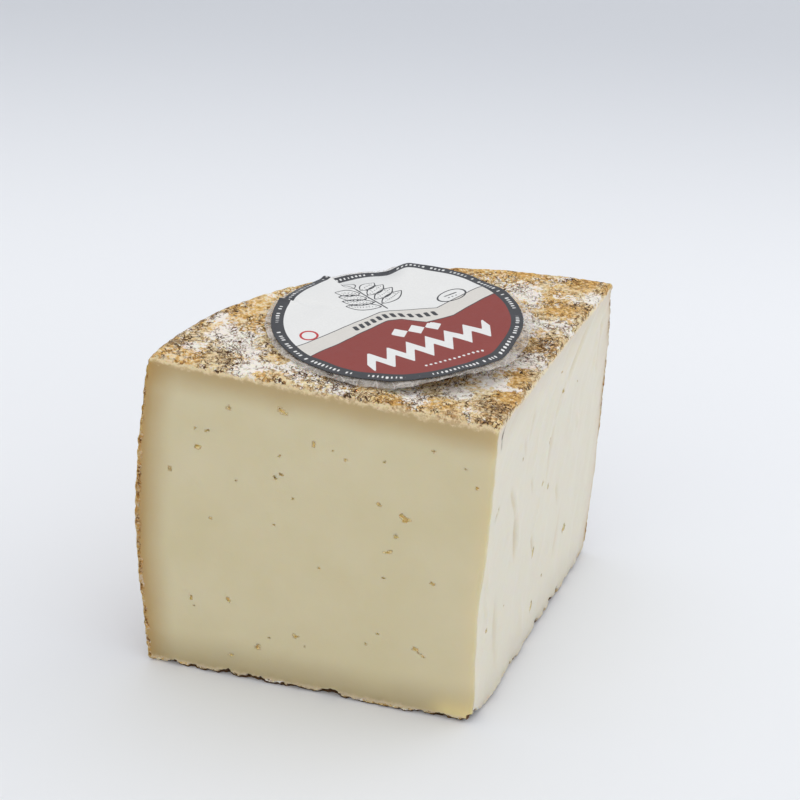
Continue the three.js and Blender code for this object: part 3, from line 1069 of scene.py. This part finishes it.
def filmHeight(a, b):
    # under the label it follows it; its margin hangs towards the rind and crinkles
    reach, turn = np.hypot(a, b), np.arctan2(b, a)
    flat = asPoints(a, b)
    around = asPoints(np.cos(turn) * 30, np.sin(turn) * 30, reach * 0.35)
    margin = step(31.0, 34.0, reach)
    crinkle = layeredNoise(around, 3.2, 3, 111) + 0.5 * layeredNoise(flat, 2.0, 2, 113)
    z = paperPlane(a, b) + paperRelief(a, b) - film["below"]
    z = z - film["droop"] * margin * (0.55 + 0.35 * np.sin(turn * 3 + 1))
    z = z + film["crinkle"] * crinkle * step(31.4, 32.4, reach)
    x, y = label["centre"]
    return np.maximum(z, topHeight(x + a, y + b) + film["over"] + 0.12 * crinkle)


def makeFilm():
    rings = np.concatenate([np.linspace(0, 0.84, 16), np.linspace(0.86, 1, 22)[:-1]])
    def edge(t):
        # widest at the front right, hardly there along the fold
        turned = asPoints(np.cos(t) * 30, np.sin(t) * 30)
        degrees = (np.degrees(t) + 180) % 360 - 180
        margin = film["margin"]
        for place, wide, more in ((-45, 26, 1.3), (-8, 14, 0.9), (-100, 18, -0.9), (115, 20, -1.2),
                                  (78, 12, 0.8)):
            margin = margin + more * bell(degrees, place, wide)
        margin = margin + film["ragged"] * layeredNoise(turned, 7.0, 4, 121)
        return label["radius"] + np.maximum(margin, 0.15)
    p, a, b = sheetSurface(edge, film["columns"], rings, film["thickness"], filmHeight)
    return closedMesh("clear_film", p)


inks = {
    "paper": "#e8e8e7",
    "band": "#dad6d0",
    "red": "#8b3831",
    "black": "#3b3c40",
    "stamp": "#c0353b",
}


def makeLabelMaterial():
    # Coated label paper, printed offset: satin, with crisp edges to flat inks
    material, tree = newMaterial("coated label paper, offset printed")
    colour = addNode(tree, "RGB")
    colour.outputs[0].default_value = linear(inks["paper"])
    # from the lowest ink up: field, mm from its border that the ink reaches, softness, line or
    # filled, ink
    for name, reach, soft, operation, ink in [
            ("bandUpper", 0.0, 0.03, "ADD", "band"), ("bandLower", 0.0, 0.03, "ADD", "red"),
            ("bandUpper", 0.15, 0.03, "ABSOLUTE", "black"),
            ("bandLower", 0.15, 0.03, "ABSOLUTE", "black"),
            ("darkMarks", 0.0, 0.04, "ADD", "black"), ("outlines", 0.18, 0.03, "ABSOLUTE", "black"),
            ("redRing", 0.3, 0.03, "ABSOLUTE", "stamp"), ("ringEdge", 0.0, 0.03, "ADD", "black"),
            ("whiteMarks", 0.0, 0.04, "ADD", "paper")]:
        field = addNode(tree, "Attribute", {"attribute_name": name}).outputs["Fac"]
        away = addNode(tree, "Math", {"operation": operation, 1: 0.0}, {0: field})
        share = addNode(tree, "MapRange", {"From Min": reach + soft, "From Max": reach - soft},
                        {"Value": away})
        colour = addNode(tree, "MixRGB", {"Color2": linear(inks[ink])},
                         {"Fac": share, "Color1": colour})
    place = addNode(tree, "TexCoord").outputs["Object"]
    fibres = addNode(tree, "TexNoise", {"Scale": 1 / (0.5 * mm), "Detail": 3.0}, {"Vector": place})
    worn = addNode(tree, "MapRange", {"To Min": 0.93, "To Max": 1.05}, {"Value": fibres})
    colour = addNode(tree, "MixRGB", {"blend_type": "MULTIPLY", "Fac": 1.0},
                     {"Color1": colour, "Color2": worn})
    bump = addNode(tree, "Bump", {"Strength": 0.25, "Distance": 0.1 * mm}, {"Height": fibres})
    shader = addNode(tree, "BsdfPrincipled", {"Roughness": 0.42, "Specular IOR Level": 0.4},
                     {"Base Color": colour, "Normal": bump})
    addNode(tree, "OutputMaterial", None, {"Surface": shader})
    return material


def makeFilmMaterial():
    # Thin clear polythene, crinkled: milky where it folds, sharp small glints
    material, tree = newMaterial("crinkled clear polythene")
    place = addNode(tree, "TexCoord").outputs["Object"]
    folds = addNode(tree, "TexNoise", {"Scale": 1 / (3.2 * mm), "Detail": 2.0, "Distortion": 0.8},
                    {"Vector": place})
    facets = addNode(tree, "TexVoronoi", {"feature": "DISTANCE_TO_EDGE", "Scale": 1 / (4.0 * mm)},
                     {"Vector": place})
    creased = addNode(tree, "MapRange", {"From Min": 0.06, "From Max": 0.0, "To Max": 0.35},
                      {"Value": facets})
    milky = addNode(tree, "MapRange",
                    {"From Min": 0.35, "From Max": 0.65, "To Min": 0.08, "To Max": 0.42},
                    {"Value": folds})
    milky = addNode(tree, "Math", {"operation": "ADD"}, {0: milky, 1: creased})
    height = addNode(tree, "Math", {"operation": "MULTIPLY_ADD", 1: 1.5}, {0: facets, 2: folds})
    bump = addNode(tree, "Bump", {"Strength": 0.8, "Distance": 0.9 * mm}, {"Height": height})
    shader = addNode(tree, "BsdfPrincipled",
                     {"Base Color": linear(film["colour"]), "Roughness": 0.16, "IOR": 1.5},
                     {"Alpha": milky, "Normal": bump})
    addNode(tree, "OutputMaterial", None, {"Surface": shader})
    return material


labelPiece = makeLabel()
labelPiece.data.materials.append(makeLabelMaterial())
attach(labelPiece, "root")
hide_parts("label")
filmPiece = makeFilm()
filmPiece.data.materials.append(makeFilmMaterial())
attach(filmPiece, "root")
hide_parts("label_film")
print("label and film made:", len(labelPiece.data.polygons), "and", len(filmPiece.data.polygons), "faces")
